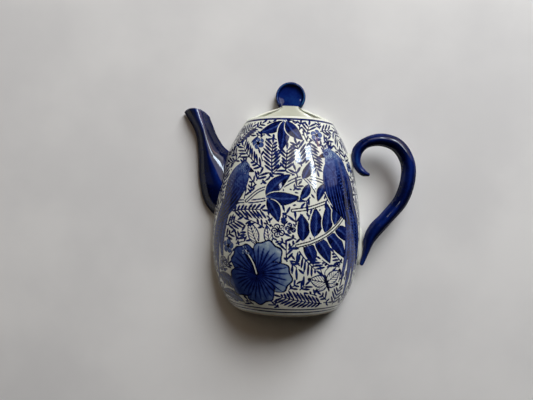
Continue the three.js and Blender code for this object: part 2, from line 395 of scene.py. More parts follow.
def feathers(base, tip, half, bend, shade, barbs, breast, halo=0.0):
    """A wing or a body: overlapping scales that turn into long feathers, paler at the breast."""
    area, along, across, distance = leaf_frame(base, tip, bend, half)
    t = along / along.max()
    row = np.floor(along / SCALE)
    shift = (across / (SCALE * 1.15) + 0.5 * (row % 2)) % 1 - 0.5
    arc = np.abs(along / SCALE - row - 0.85 + 1.9 * shift**2) < 0.17
    feather = np.abs((across + 0.25 * along) % 2.6 - 1.3) < 0.3
    line = np.where(t * barbs > 1, feather, arc)
    light = breast * np.clip(1.2 - t * 2.4, 0, 1)
    shading = shade + light + (0.52 - 1.2 * light) * line
    shading = np.where(distance > -0.6, DEEP + 0.8 * light, shading)
    lay(area, distance, shading, halo)


def plume(points, width, shade):
    """A long tail feather: barbs slant from a pale shaft to a dark edge."""
    taper = (1, 0.45)
    ribbon(points, width, DEEP, taper=taper)
    ribbon(points, width - 1.1, shade, taper=taper)
    line = curve(points, 0.5)
    ahead = unit(np.gradient(line, axis=0))
    reach = width / 2 * swell(len(line), taper) - 0.6
    for k in range(2, len(line) - 4, 5):
        for side in (-1, 1):
            out = np.array([-ahead[k, 1], ahead[k, 0]]) * side * reach[k]
            ribbon([line[k], line[k] + out + ahead[k] * 1.8], 0.5, MID)
    ribbon(points, 0.6, MID + 0.12, taper=(1, 0.6))


def head(centre, radius, beak, shade):
    """A bird's round, speckled head with a pointed beak and a ringed eye."""
    area, _, _, distance = leaf_frame(centre, beak, 0, radius * 0.5, 0.6)
    lay(area, distance, DEEP, 0.3)
    area, u, v = window([centre], radius + 2)
    far = np.hypot(u - centre[0], v - centre[1])
    speckle = np.sin(u * 3.1 + 1.3 * np.sin(v * 1.7)) * np.sin(v * 2.9)
    lay(area, far - radius, np.where(far > radius - 0.35, SOFT - 0.15, shade - 0.42 * (speckle > 0.15)), 0.3)
    eye = np.add(centre, np.subtract(beak, centre) * 0.22) + (0, radius * 0.18)
    dot(eye, 1.2, DEEP)
    dot(eye, 0.5, SOFT)


# Fern sprigs: U, V, heading, length and curl.
SPRIGS = (
    (-46, 84, 12, 30, -20), (-52, 73, 20, 30, 15), (-42, 62, 60, 22, -20), (-8, 64, 120, 20, 20),
    (5, 76, 100, 16, -30), (8, 56, -55, 26, 25), (2, 48, -45, 20, 20), (14, 28, 80, 22, 25),
    (28, 14, 172, 38, -8), (-8, 12, 14, 32, -10), (24, 18, 60, 22, 20), (40, 12, 70, 26, 10),
    (46, 22, 85, 24, -10), (4, 22, 40, 20, 30), (-60, 18, 100, 22, -15), (-54, 13, -5, 32, 8),
    (-67, 34, 80, 26, 12), (-22, 118, 150, 26, -30), (-44, 126, 50, 32, -30), (-14, 146, 200, 30, -20),
    (-14, 114, 95, 24, -10), (-26, 108, 60, 22, 20), (-4, 116, 85, 26, 6), (8, 120, 100, 26, 10),
    (-34, 104, 120, 18, 10), (14, 140, -80, 24, 10), (-50, 136, 60, 24, -30), (-34, 150, 20, 18, 20),
    (20, 120, 80, 22, 10), (8, 92, 70, 16, 20), (-63, 90, 80, 26, 10), (-60, 114, 75, 24, -20),
    (46, 146, -30, 18, 10), (38, 153, -60, 18, 20), (57, 104, 80, 22, 10), (63, 88, 85, 24, -10),
    (69, 58, 80, 24, 10), (68, 32, 85, 24, 10), (61, 16, 88, 22, -10), (-71, 60, 85, 28, -10),
    (-52, 60, 80, 20, -10), (50, 128, 100, 20, 20), (24, 150, 20, 18, -30), (-20, 134, 100, 20, 20),
    (26, 36, 120, 16, 20), (-4, 88, -20, 12, 20), (-38, 76, 40, 18, 20),
)
# Small flowers: U, V, radius, and whether the petals are washed in.
BLOSSOMS = (
    (-26, 138, 4.6, 1), (20, 146, 4.6, 1), (-8, 71, 4.8, 0), (-50, 57, 5.0, 1), (-46, 152, 4.4, 0),
    (56, 122, 4.4, 1), (1, 73, 3.8, 0), (-56, 44, 4.2, 0),
)


def paint_front():
    """Lays the whole painting, big motifs first and what fills the ground between them last."""
    for v, width in ((159.9, 1.8), (8.8, 0.9), (6.0, 1.2)):
        area, _, up = window([(-92, v), (92, v)], 2)
        lay(area, np.abs(up - v) - width / 2)
    leaf((-64, 33), (-38, 22), 5.2, 2)
    leaf((-60, 19), (-33, 12), 4.2, 2)
    open_leaf((-24, 60), (-31, 77), 4.6)
    open_leaf((-14, 60), (-17, 75), 3.6)
    big_flower((-23.5, 38), 26.5)
    outlined([(-52, 84), (-42, 91), (-28, 92), (-16, 95), (-4, 105), (10, 111), (26, 108), (38, 100)], 2.9)
    outlined([(-34, 92), (-24, 100), (-14, 103), (-6, 101)], 2.6)
    outlined([(10, 111), (18, 103), (22, 95)], 2.4)
    for base, tip, half, bend in (
            ((-18, 95), (0, 113), 5.2, 2), ((-18, 96), (8, 96), 5.0, -1.5), ((-17, 94), (-8, 77), 4.6, 1.5),
            ((9, 110), (15, 124), 3.4, -1), ((14, 106), (7, 94), 3.2, 1), ((27, 107), (21, 93), 3.2, -1)):
        leaf(base, tip, half, bend)
    paint_spray()
    paint_right_bird()
    paint_left_bird()
    paint_butterfly(31, 32)
    leaf((-5, 157.5), (-26, 147), 4.6, 1.5)
    leaf((-6, 157.5), (-8, 131), 4.8, 1)
    leaf((-4, 157.5), (9, 141), 4.6, -1.5)
    settle()
    for u, v, radius, filled in BLOSSOMS:
        blossom((u, v), radius, u * 0.7, filled)
    settle()
    for u, v, *growth in SPRIGS:
        sprig((u, v), *growth)
    rng = random.Random(5)
    for tries, size, longest in ((1500, 9, 30), (3000, 7.6, 22), (4000, 6, 14), (3000, 4.6, 9)):
        fill_gaps(rng, tries, size, longest)
    fill_spots(rng, 3000, 6, 3.0, as_buds=True)
    for length, width in ((4.4, 1.3), (3.0, 1.2), (2.0, 1.1)):
        fill_spots(rng, 2500, length, width)


def paint_butterfly(u, v):
    """Four veined wings round a dark body, with two feelers."""
    for angle, length, half in ((-12, 11, 3.8), (218, 11, 3.8), (38, 15, 5.2), (168, 15, 5.2)):
        tip = (u, v) + toward(math.radians(angle), length)
        open_leaf((u, v), tip, half)
        dot(tip, 1.3, DEEP)
    ribbon([(u + 3, v - 7), (u, v), (u - 2, v + 5)], 2.4, DEEP, taper=(0.5, 1))
    ribbon([(u - 2, v + 5), (u - 2, v + 9), (u + 1, v + 12)], 0.7)
    ribbon([(u - 2, v + 5), (u - 5, v + 8), (u - 6, v + 12)], 0.7)


def paint_spray():
    """Broad leaves on both sides of a pale stem, with a second stem above."""
    for base, tip, half in (
            ((12, 63), (19, 46), 4.8), ((20, 66), (33, 47), 5.2), ((29, 70), (48, 50), 5.4),
            ((36, 74), (54, 62), 4.8), ((10, 64), (8, 84), 4.8), ((19, 67), (19, 89), 5.0),
            ((28, 70), (29, 92), 4.8), ((36, 76), (37, 97), 4.6)):
        leaf(base, tip, half, 1.5 if tip[1] < base[1] else -1.5)
    for stem in ([(6, 60), (18, 63.5), (31, 70), (42, 79), (47, 86)], [(2, 86), (14, 88), (27, 92.5)]):
        outlined(stem, 2.8, DEEP, 0.5, 0.464)


def bird(tail, coat, crest_root, crest_heading, crest_length, face):
    """A long-tailed bird: its tail, its body and wings, three crest feathers and its head."""
    for feather in tail:
        plume(*feather)
    for part in coat:
        feathers(*part)
    for k in range(3):
        touch(crest_root, math.radians(crest_heading + 28 * k), crest_length, 1.8)
    head(*face)


def paint_right_bird():
    bird((([(43, 98), (49, 80), (50, 58), (46, 34)], 5.4, 0.1),
          ([(52, 100), (63, 80), (67, 58), (66, 40)], 6.6, 0.04),
          ([(50, 100), (58, 78), (61, 52), (60, 24)], 7.0, 0.06),
          ([(46, 100), (53, 78), (55, 50), (52, 20)], 7.0, 0.02)),
         (((29, 135), (51, 88), 11, 1.5, 0.06, 1.3, 0.8, 0.3),
          ((43, 124), (58, 84), 5.5, 2, 0.04, 4, 0.4),
          ((27, 122), (53, 76), 7.5, -3, 0.04, 4, 0.4)),
         (31, 134), 40, 8, ((30.5, 131), 4.7, (21, 127.5), 0.85))


def paint_left_bird():
    bird((([(-50, 92), (-55, 76), (-58, 60), (-57, 46)], 6.0, 0.08),
          ([(-58, 90), (-67, 74), (-71, 58), (-70, 42)], 6.0, 0.04),
          ([(-54, 92), (-61, 74), (-65, 54), (-64, 30)], 7.0, 0.02)),
         (((-35, 123), (-56, 78), 10.5, -1.5, 0.05, 1.3, 0.7, 0.3),
          ((-39, 113), (-63, 74), 6.6, 3, 0.04, 4, 0.35)),
         (-37, 120), 80, 7.5, ((-36.5, 118), 4.4, (-28, 114.5), 0.75))


# ---- materials ----


def srgb(code):
    """A colour written as hex digits, as Blender's linear numbers."""
    parts = [int(code[i:i + 2], 16) / 255 for i in (0, 2, 4)]
    return [*(c / 12.92 if c < 0.04045 else ((c + 0.055) / 1.055) ** 2.4 for c in parts), 1.0]


class Shader:
    """A material with its own short way to add nodes."""

    def __init__(self, name):
        self.material = bpy.data.materials.new(name)
        self.material.use_nodes = True
        self.tree = self.material.node_tree
        self.surface = self.tree.nodes["Principled BSDF"]
        self.place = self.add("TexCoord").outputs["Object"]

    def add(self, kind, inputs=None, **settings):
        made = self.tree.nodes.new("ShaderNode" + kind)
        for key, value in settings.items():
            setattr(made, key, value)
        for key, value in (inputs or {}).items():
            self.put(made, key, value)
        return made

    def put(self, made, key, value):
        socket = made.inputs[key]
        if isinstance(value, bpy.types.NodeSocket):
            self.tree.links.new(value, socket)
        else:
            socket.default_value = value

    def finish(self, inputs):
        """Sets the surface's inputs, which completes the material."""
        for key, value in inputs.items():
            self.put(self.surface, key, value)
        return self.material

    def noise(self, scale, detail=2.0):
        return self.add("TexNoise", {"Vector": self.place, "Scale": scale, "Detail": detail}).outputs["Fac"]

    def total(self, a, b):
        return self.add("Math", {0: a, 1: b}, operation="ADD").outputs[0]

    def step(self, value, low, high, out_low=0.0, out_high=1.0):
        """The value's way from low to high, eased, as a number between the two out values."""
        inputs = {"Value": value, "From Min": low, "From Max": high, "To Min": out_low, "To Max": out_high}
        return self.add("MapRange", inputs, interpolation_type="SMOOTHSTEP").outputs["Result"]

    def patches(self, scale, detail, low=0.0, high=1.0):
        """Soft clouds between two values."""
        return self.step(self.noise(scale, detail), 0.3, 0.7, low, high)

    def mix(self, share, a, b):
        return self.add("Mix", {0: share, 6: a, 7: b}, data_type="RGBA").outputs[2]

    def given(self, name):
        """What the mesh gives for each vertex, by name."""
        return self.add("Attribute", attribute_name=name).outputs

    def ramp(self, value, stops):
        made = self.add("ValToRGB", {"Fac": value})
        band = made.color_ramp
        while len(band.elements) < len(stops):
            band.elements.new(0.5)
        for element, (position, code) in zip(band.elements, stops):
            element.position = position
            element.color = srgb(code)
        return made.outputs["Color"]

    def relief(self, *layers):
        """Bumps laid one over the other, each a height and its full size in metres."""
        under = {}
        for height, size in layers:
            made = self.add("Bump", {"Height": height, "Strength": 1.0, "Distance": size, **under})
            under = {"Normal": made.outputs["Normal"]}
        return under["Normal"]


def cream_colour(shader):
    """Off-white glaze with a few fine dark specks; inside the lid's bead it is greener and darker, partly
    glaze lying thick there and partly painted shade of the sunken panel.
    """
    cream = shader.mix(shader.patches(26, 3), srgb("e3e7da"), srgb("f0f1e6"))
    cream = shader.mix(shader.step(shader.noise(420, 3), 0.35, 0.65, 0, 0.3), cream, srgb("d6dacb"))
    # Partly painted shade: the lid's recessed panel and neck are mixed towards a darker grey-green, besides
    # glaze lying thick there.
    cream = shader.mix(shader.given("pooled_glaze_and_shade")["Fac"], cream, srgb("d9dcc9"))
    return shader.mix(shader.step(shader.noise(640, 1), 0.8, 0.86, 0, 0.35), cream, srgb("8d8468"))


def finish_glaze(shader, colour, at_edges=0.8, fades=(0.3, 0.75)):
    """Gives a glaze its colour, its gloss, which weakens where it is seen edge on, and an uneven surface."""
    facing = shader.add("LayerWeight", {"Blend": 0.5}).outputs["Facing"]
    return shader.finish({
        "Base Color": colour,
        "Roughness": shader.patches(90, 3, 0.0375, 0.085),
        "Specular IOR Level": shader.step(facing, *fades, 0.5, 0.5 * at_edges),
        "Normal": shader.relief((shader.noise(55, 1), 0.00012), (shader.noise(300, 2), 0.000012)),
    })


def cream_glaze():
    shader = Shader("cream_glaze")
    return finish_glaze(shader, cream_colour(shader))


def painted_glaze():
    """Cream glaze over cobalt brushwork; the mesh says how much of it lies there, and how pale it is."""
    shader = Shader("painted_glaze")
    cream = cream_colour(shader)
    amount, paleness = shader.add("SeparateColor", {0: shader.given("paint")["Color"]}).outputs[:2]
    ragged = shader.total(amount, shader.step(shader.noise(900, 2), 0.2, 0.8, -0.08, 0.08))
    ink_share = shader.step(ragged, 0.3, 0.56)
    flow = shader.total(paleness, shader.patches(260, 3, -0.09, 0.11))
    ground = shader.mix(shader.step(amount, 0.02, 0.6, 0, 0.35), cream, srgb("aab4c4"))
    return finish_glaze(shader, shader.mix(ink_share, ground, shader.ramp(flow, INK_STOPS)))


def navy_glaze():
    """Deep cobalt, lighter and greener where the mesh's value is high: where the glaze lies thinner on ridges
    and edges, and, on the handle's upper sides and the knob's dish, as painted light.
    """
    shader = Shader("navy_glaze")
    value = shader.total(shader.given("thin_glaze_and_painted_light")["Fac"], shader.patches(45, 4, -0.14, 0.16))
    value = shader.total(value, shader.patches(500, 2, -0.04, 0.04))
    colour = shader.ramp(value, (
        (0.0, "030820"), (0.35, "060f38"), (0.62, "0c2066"), (0.85, "193f82"), (1.0, "2f6a8c")))
    return finish_glaze(shader, colour, 0.02, (0.25, 0.62))


def bare_clay():
    shader = Shader("bare_clay")
    colour = shader.mix(shader.patches(120, 4), srgb("d9cfb9"), srgb("c4b698"))
    grain = shader.noise(1500, 3)
    colour = shader.mix(shader.step(grain, 0.62, 0.72, 0, 0.5), colour, srgb("9a8a6c"))
    return shader.finish({"Base Color": colour, "Roughness": 0.75, "Normal": shader.relief((grain, 0.00012))})


# ---- mesh work ----

SHARP = math.radians(48)


def placed(name, data):
    made = bpy.data.objects.new(name, data)
    scene.collection.objects.link(made)
    return made


def make(name, points, faces):
    """A mesh object with its faces turned out, smooth but for its sharp edges."""
    mesh = bpy.data.meshes.new(name)
    mesh.from_pydata(place(points).reshape(-1, 3).tolist(), [], faces)
    tidy_normals(mesh)
    return placed(name, mesh)


def tidy_normals(mesh):
    work = bmesh.new()
    work.from_mesh(mesh)
    bmesh.ops.recalc_face_normals(work, faces=work.faces)
    for face in work.faces:
        face.smooth = True
    for edge in work.edges:
        edge.smooth = edge.is_manifold and edge.calc_face_angle(0) < SHARP
    work.to_mesh(mesh)
    work.free()


def shown(made, material, slot, *nodes):
    """A piece of the pot: its material, and the CAD nodes it stands for, which are hidden. The slot, the name
    of its finish, is not used.
    """
    made.data.materials.clear()
    made.data.materials.append(material)
    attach(made, "root")
    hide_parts(*nodes)


def skin(rows, around, first=0, closed=True):
    """The quads of a grid of points, row after row, closed round each row or left open."""
    faces = []
    last = around if closed else around - 1
    for r in range(rows - 1):
        start = first + r * around
        for i in range(last):
            j = (i + 1) % around
            faces.append((start + i, start + j, start + around + j, start + around + i))
    return faces


def loft(name, rings, closed=False):
    """A body over a pile of rings: a flat face over each end, or the last ring joined to the first."""
    rings = np.asarray(rings)
    rows, around = rings.shape[:2]
    count = rows * around
    if closed:
        faces = [tuple(corner % count for corner in face) for face in skin(rows + 1, around)]
    else:
        faces = skin(rows, around) + [list(range(around)), list(range(count - around, count))]
    return make(name, rings, faces)


def attribute(made, name, values):
    """One number or three for each vertex, from 0 to 1, which materials read by name."""
    values = np.asarray(values, float).reshape(len(made.data.vertices), -1)
    colours = np.ones((len(values), 4))
    colours[:, :3] = values
    layer = made.data.color_attributes.new(name, "FLOAT_COLOR", "POINT")
    layer.data.foreach_set("color", colours.ravel())


def cut(made, cutter):
    """Takes the cutter away from a piece."""
    change = made.modifiers.new("cut", "BOOLEAN")
    change.operation = "DIFFERENCE"
    change.solver = "EXACT"
    change.object = cutter
    result = bpy.data.meshes.new_from_object(made.evaluated_get(bpy.context.evaluated_depsgraph_get()))
    made.modifiers.remove(change)
    made.data = result
    tidy_normals(result)


# ---- body ----


def half_width(height):
    return np.interp(height, BODY_Z, BODY_R)


def wobble(across, up):
    """How far hand-finished clay strays from its true surface, in millimetres."""
    return (0.05 * np.sin(across / 7.1 + up / 11.3) + 0.05 * np.sin(up / 8.7 - across / 13.7 + 1.1)
            + 0.03 * np.sin(across / 4.3 + 2.0) * np.sin(up / 5.1))


def outline(height, inset, back, count):
    """The body's D outline at a height, shrunk by an inset, with its straight side at a depth."""
    wide = half_width(height) - inset
    deep = DEPTH_SHARE * half_width(height) - inset
    start = math.asin(back / deep)
    turn = np.linspace(start, np.pi - start, count)
    return at(wide * np.cos(turn), deep * np.sin(turn), height)


FRONT_BOTTOM, FRONT_TOP = 1.6, 154.3
FRONT_EDGE = 1.2            # depth at which the front wall's two long edges start
COLUMNS, ROWS, INNER_ROWS = 309, 280, 14        # of points on the front wall


def wall_grid(heights, inset, rounded):
    """Points on the front wall, row by row and evenly spaced, and how far each is round from the middle."""
    points, ways = [], []
    for height in heights:
        wide = half_width(height) - inset
        deep = DEPTH_SHARE * half_width(height) - inset
        start = math.asin(FRONT_EDGE / deep)
        way = np.linspace(*np.interp([start, np.pi - start], TURN, ROUND), COLUMNS)
        turn = np.interp(way, ROUND, TURN)
        depth = deep * np.sin(turn)
        pull = np.zeros(COLUMNS)
        if rounded:
            way_in = np.clip(1 - (depth - FRONT_EDGE) / 1.4, 0, 1)
            rise = min(max(1 - (height - FRONT_BOTTOM) / 1.6, 0.0), 1.0)
            pull = 1.4 * (1 - np.sqrt(1 - way_in**2)) + 1.6 * (1 - math.sqrt(1 - rise**2))
            pull -= wobble(way * wide, height)
        side = np.stack([np.cos(turn) / wide, np.sin(turn) / deep])
        side /= np.hypot(*side)
        points.append(at(wide * np.cos(turn) - pull * side[0], np.maximum(depth - pull * side[1], FRONT_EDGE),
                         height))
        ways.append((ROUND[-1] / 2 - way) * half_width(height))
    return np.array(points), np.array(ways)


def front_wall():
    """The painted wall: a fine skin outside, a plain one inside, and flat strips between their edges."""
    way_up = np.linspace(*np.interp([FRONT_BOTTOM, FRONT_TOP], BODY_Z, BODY_V), ROWS)
    outside, ways = wall_grid(np.interp(way_up, BODY_V, BODY_Z), 0.0, True)
    inside, _ = wall_grid(np.linspace(FRONT_BOTTOM + 1, FRONT_TOP, INNER_ROWS), WALL, False)
    inner = ROWS * COLUMNS
    faces = skin(ROWS, COLUMNS, closed=False)
    faces += skin(INNER_ROWS, COLUMNS, inner, closed=False)
    for out_row, in_row in ((0, 0), (ROWS - 1, INNER_ROWS - 1)):
        a, b = out_row * COLUMNS, inner + in_row * COLUMNS
        faces += [(a + i, a + i + 1, b + i + 1, b + i) for i in range(COLUMNS - 1)]
    for column in (0, COLUMNS - 1):
        up = [r * COLUMNS + column for r in range(ROWS)]
        down = [inner + r * COLUMNS + column for r in reversed(range(INNER_ROWS))]
        faces.append(up + down)
    made = make("front_wall_painted", np.vstack([outside.reshape(-1, 3), inside.reshape(-1, 3)]), faces)
    paint_front()
    paint = np.zeros((len(made.data.vertices), 3))
    for channel, picture in enumerate((cover, tone)):
        paint[:inner, channel] = on_canvas(picture, ways, way_up[:, None]).ravel()
    attribute(made, "paint", paint)
    shown(made, painted_glaze(), "painted_glaze", "front_shell")


def on_canvas(picture, u, v):
    """The flat painting's value at places on the wall, blended between its cells."""
    column = np.clip((u + PAINT_REACH) / CELL - 0.5, 0, picture.shape[1] - 1.001)
    row = np.clip(v / CELL - 0.5 + 0 * u, 0, picture.shape[0] - 1.001)
    i, j = row.astype(int), column.astype(int)
    a, b = row - i, column - j
    return ((picture[i, j] * (1 - b) + picture[i, j + 1] * b) * (1 - a)
            + (picture[i + 1, j] * (1 - b) + picture[i + 1, j + 1] * b) * a)


HOLE_HEIGHT, HOLE_RADIUS = 141.0, 4.0
PLATE_BOTTOM = 1.4


def back_plate():
    """The flat back: rounded where it meets the wall, with a soft-edged hanging hole."""
    heights = np.linspace(PLATE_BOTTOM, RIM_HEIGHT, 90)
    sides = half_width(np.minimum(heights, RIM_HEIGHT - 1)) - 0.35
    top = np.linspace(sides[-1], -sides[-1], 40)[1:-1]
    foot = np.linspace(-sides[0], sides[0], 24)[1:-1]
    across = np.concatenate([sides, top, -sides[::-1], foot])
    up = np.concatenate([heights, 0 * top + RIM_HEIGHT, heights[::-1], 0 * foot + PLATE_BOTTOM])
    edge = np.stack([across, up], -1)
    along = np.roll(edge, -1, 0) - np.roll(edge, 1, 0)
    inwards = unit(np.stack([-along[:, 1], along[:, 0]], -1))
    hole = np.array([0, HOLE_HEIGHT])
    away = unit(edge - hole)
    rings = []

    def ring(line, depth):
        rings.append(at(line[:, 0], depth, line[:, 1]))

    for a in np.linspace(0, np.pi / 2, 6):
        ring(edge + inwards * 1.8 * (1 - math.sin(a)), 1.8 * (1 - math.cos(a)))
    ring(edge, BACK_WALL - 0.6)
    ring(edge + inwards * 0.6, BACK_WALL)
    for a in np.linspace(0, np.pi / 2, 4):
        ring(hole + away * (HOLE_RADIUS + 1 - math.sin(a)), BACK_WALL - 1 + math.cos(a))
    for a in np.linspace(0, np.pi / 2, 5):
        ring(hole + away * (HOLE_RADIUS + 1.4 * (1 - math.cos(a))), 1.4 * (1 - math.sin(a)))
    return loft("back_plate", rings, closed=True)


def pocket_floor():
    rings = [outline(height, WALL + inset, BACK_WALL + back, 120) for height, inset, back in (
        (9, -0.3, -0.4), (14.9, -0.3, -0.4), (14.4, 0.5, 0.6), (14.05, 1.6, 1.7), (14, 4, 4))]
    return loft("pocket_floor_glazed", rings)


def foot_ring():
    """The foot that is wiped bare: a D-shaped ring with rounded edges."""
    rings = []
    for z, inset in ((6, 0.7), (1.1, 0.7), (0.3, 1.0), (0, 1.8), (0, 8.2), (0.3, 8.8), (1, 9), (9.2, 9)):
        d = outline(z, inset, max(inset, 1.0), 160)
        back = np.linspace(d[-1], d[0], 42)[1:-1]
        rings.append(np.vstack([d, back]))
    return loft("foot_ring_bare", rings, closed=True)


def mouth_lip():
    """The rounded edge of the mouth, which runs into the back plate at both ends."""
    wide, deep = RIM - WALL / 2, DEPTH_SHARE * RIM - WALL / 2
    start = math.asin(4 / deep)
    a = full_turn(28)
    out = 2.72 * bulge(np.cos(a), 0.75)
    up = 152.6 + np.where(np.sin(a) > 0, 3.4, 1.6) * bulge(np.sin(a), 0.85)
    rings = []
    for turn in np.linspace(start, np.pi - start, 150):
        side = unit(np.array([math.cos(turn) / wide, math.sin(turn) / deep]))
        rings.append(at(wide * math.cos(turn) + side[0] * out, deep * math.sin(turn) + side[1] * out, up))
    return loft("mouth_lip_rounded", rings)


def inner_cutter():
    """The pocket and half the wall round it: what the spout and the pads must not reach into."""
    rings = [outline(height, WALL / 2, 0.2, 140) for height in np.linspace(2, RIM_HEIGHT - 1, 60)]
    return loft("cutter", rings)


# ---- lid ----

NECK_HALF_WIDTH = 8.4
NECK_TOP = 168.4
LID_FOOT = 156.3


SLOPE = bezier([(RIM, LID_FOOT), (RIM - 9, LID_FOOT + 5.3), (NECK_HALF_WIDTH, NECK_TOP - 0.6)], 200)
BEAD = 4.0              # width of the rounded edge along the slopes


def lid():
    """The outline of a lid: a rounded bead along both slopes, a valley inside, and a neck that fans out."""
    rings, pooled_glaze_and_shade = [], []
    for height in np.append(np.linspace(149, LID_FOOT, 12), np.linspace(LID_FOOT, NECK_TOP + 0.3, 60)[1:]):
        half = RIM - 2 if height < LID_FOOT else np.interp(height, SLOPE[:, 1], SLOPE[:, 0])
        lean = 1 + 1.6 * ease((NECK_TOP - height) / 1.6)
        across = np.linspace(-1, 1, 161) * half
        edge = (half - np.abs(across)) / lean
        bead_width = BEAD * (0.25 + 0.75 * ease((NECK_TOP - height) / 4))
        neck_half = 9.6 + 14 * max(0.0, (NECK_TOP - height) / 12.4) ** 1.2
        valley = 3.6 + 2.3 * ease((LID_FOOT + 0.5 - height) / 5)
        neck = valley + (6.1 - valley) * np.exp(-np.abs(across / neck_half) ** 5)
        round_side = np.sqrt(np.clip(1 - (1 - np.minimum(edge / bead_width * 2, 1)) ** 2, 0, 1))
        bead = 1.1 + 4.6 * round_side - 2.6 * ease(edge / bead_width * 2 - 1)
        depth = np.maximum(bead, 1.1 + (neck - 1.1) * ease(edge / bead_width))
        rings.append(np.vstack([
            at(across, depth, height),
            [(side * half, 0.2, height) for side in (0.97, 0.35, -0.35, -0.97)],
        ]))
        # Partly painted shade, partly thick glaze: darker and greener away from the bead, over the sunken
        # panel and the neck.
        pooled_glaze_and_shade.append(np.append(ease((edge - bead_width * 0.6) / 2.5) * 0.8, np.zeros(4)))
    made = loft("lid_relief", rings)
    attribute(made, "pooled_glaze_and_shade", pooled_glaze_and_shade)
    return made


KNOB_HEIGHT = 176.0
KNOB_RADIUS = 12.5
KNOB_DISH = 10.1            # radius of the sunken face
KNOB_FACE = 5.7             # its depth
KNOB_CREST = 8.5            # depth of the rim round it
# The rim, from the dish outwards and round to the back: radius and depth.
KNOB_RIM = [(KNOB_DISH + more, depth) for more, depth in (
    (-0.8, 5.75), (-0.2, 6.1), (0.2, 7.3), (0.6, 8.2), (1.2, KNOB_CREST))]
KNOB_RIM += [(KNOB_RADIUS - less, depth) for less, depth in (
    (0.6, 8.1), (0.1, 7.1), (0, 5.4), (0, 3), (0.4, 1.2), (1.2, 0.35), (2.5, 0.1))]


def knob():
    """A disc with a sunken face and a rounded rim, which sinks into the neck where the disc is cut flat."""
    turn = full_turn(144)
    profile = np.vstack([[(r, KNOB_FACE) for r in (0.4, 3, 5.5)], curve(KNOB_RIM, 0.35)])
    from_below = np.abs((turn + np.pi / 2 + np.pi) % (2 * np.pi) - np.pi)
    rise = ease((from_below - 0.72) / 0.3)
    rings, thin_glaze_and_painted_light = [], []
    for radius, depth in profile:
        proud = max(depth - KNOB_FACE, 0)
        rings.append(at(radius * np.cos(turn), depth - proud * (1 - rise),
                        KNOB_HEIGHT + radius * np.sin(turn)))
        # Painted light: the sunken face is made paler than the rim, as light caught by the upturned dish; the
        # rim's crest is paler where the glaze lies thinner.
        face = 0.62 if radius < KNOB_DISH - 0.6 else 0.5
        thin_glaze_and_painted_light.append(np.full(144, face + 0.35 * ease((depth - 7.9) / 0.6)))
    made = loft("knob_disc", rings)
    attribute(made, "thin_glaze_and_painted_light", thin_glaze_and_painted_light)
    work = bmesh.new()
    work.from_mesh(made.data)
    foot = Vector(place((0, 0, NECK_TOP - 0.3)))
    geometry = work.verts[:] + work.edges[:] + work.faces[:]
    sliced = bmesh.ops.bisect_plane(work, geom=geometry, plane_co=foot, plane_no=(0, 0, 1), clear_inner=True)
    rim = [item for item in sliced["geom_cut"] if isinstance(item, bmesh.types.BMEdge)]
    bmesh.ops.holes_fill(work, edges=rim)
    work.to_mesh(made.data)
    work.free()
    tidy_normals(made.data)
    return made


# ---- spout ----

SPOUT_OUTER = curve([
    (-56, 70), (-69.5, 86), (-74.8, 106), (-76.6, 129), (-79.8, 145.6), (-89.4, 161.8)])
SPOUT_INNER = curve([
    (-38, 110), (-46, 125.5), (-54.8, 133.6), (-61.4, 143.6), (-65.2, 153), (-67.6, 161.2)])
SPOUT_BACK, SPOUT_ROOT, SPOUT_TIP = 1.0, 20.0, 13.0
SPOUT_RIDGE = 1.3           # over 1 gives the section a soft ridge
SPOUT_BROW = 1.8            # how far the front of the mouth rises over its sides
SPOUT_CORNER = 2.8          # how far the mouth's inner corner is rounded off
SPOUT_TURN = np.linspace(0.05, np.pi - 0.05, 90)


def along_line(line, share):
    return np.array([np.interp(share, np.linspace(0, 1, len(line)), column) for column in line.T])


def spout_ring(share, inset=0.0, lift=0.0):
    """A half-round section of the spout at a share of its length."""
    outer, inner = along_line(SPOUT_OUTER, share), along_line(SPOUT_INNER, share)
    middle, half = (outer + inner) / 2, (inner - outer) / 2
    keep = 1 - inset / np.hypot(*half)
    deep = SPOUT_ROOT + (SPOUT_TIP - SPOUT_ROOT) * share**0.7 - inset
    base = SPOUT_BACK + inset
    side = np.append(bulge(np.cos(SPOUT_TURN), SPOUT_RIDGE), (-0.93, -0.6, -0.2, 0.2, 0.6, 0.93))
    proud = np.append(np.sin(SPOUT_TURN) ** SPOUT_RIDGE, np.zeros(6))
    across, up = (middle + half * side[:, None] * keep).T
    up += lift + SPOUT_BROW * ease((share - 0.88) / 0.12) * ease(proud)
    up -= SPOUT_CORNER * ease((share - 0.8) / 0.2) * (0.5 + 0.5 * side) ** 5
    return at(across, base + (deep - base) * proud, up)


def spout(cutter):
    """The curved spout, with a rounded edge round its blind mouth."""
    shares = np.linspace(0, 1, 130)
    rings = [spout_ring(share) for share in shares[:-1]]
    for share, inset, lift in ((0.995, 0, 0), (1, 0.5, -0.1), (1, 1.3, 0.1), (1, 2.2, -0.1), (0.99, 2.9, 0),
                               (0.97, 3.2, 0), (0.93, 3.6, 0)):
        rings.append(spout_ring(share, inset, lift))
    made = loft("spout_curved", rings)
    a = SPOUT_TURN
    ridge = 0.27 + 0.25 * np.exp(-((a - np.pi / 2) / 0.2) ** 2) + 0.2 * np.exp(-(a / 0.25) ** 2)
    ridge = np.append(ridge, np.zeros(6))
    mouth_edge = len(shares) + 1
    tips = 0.25 * np.exp(-((np.arange(len(rings)) - mouth_edge) / 5.0) ** 2)
    attribute(made, "thin_glaze_and_painted_light", np.clip(ridge[None, :] + tips[:, None], 0, 1))
    cut(made, cutter)
    return made


# ---- handle ----

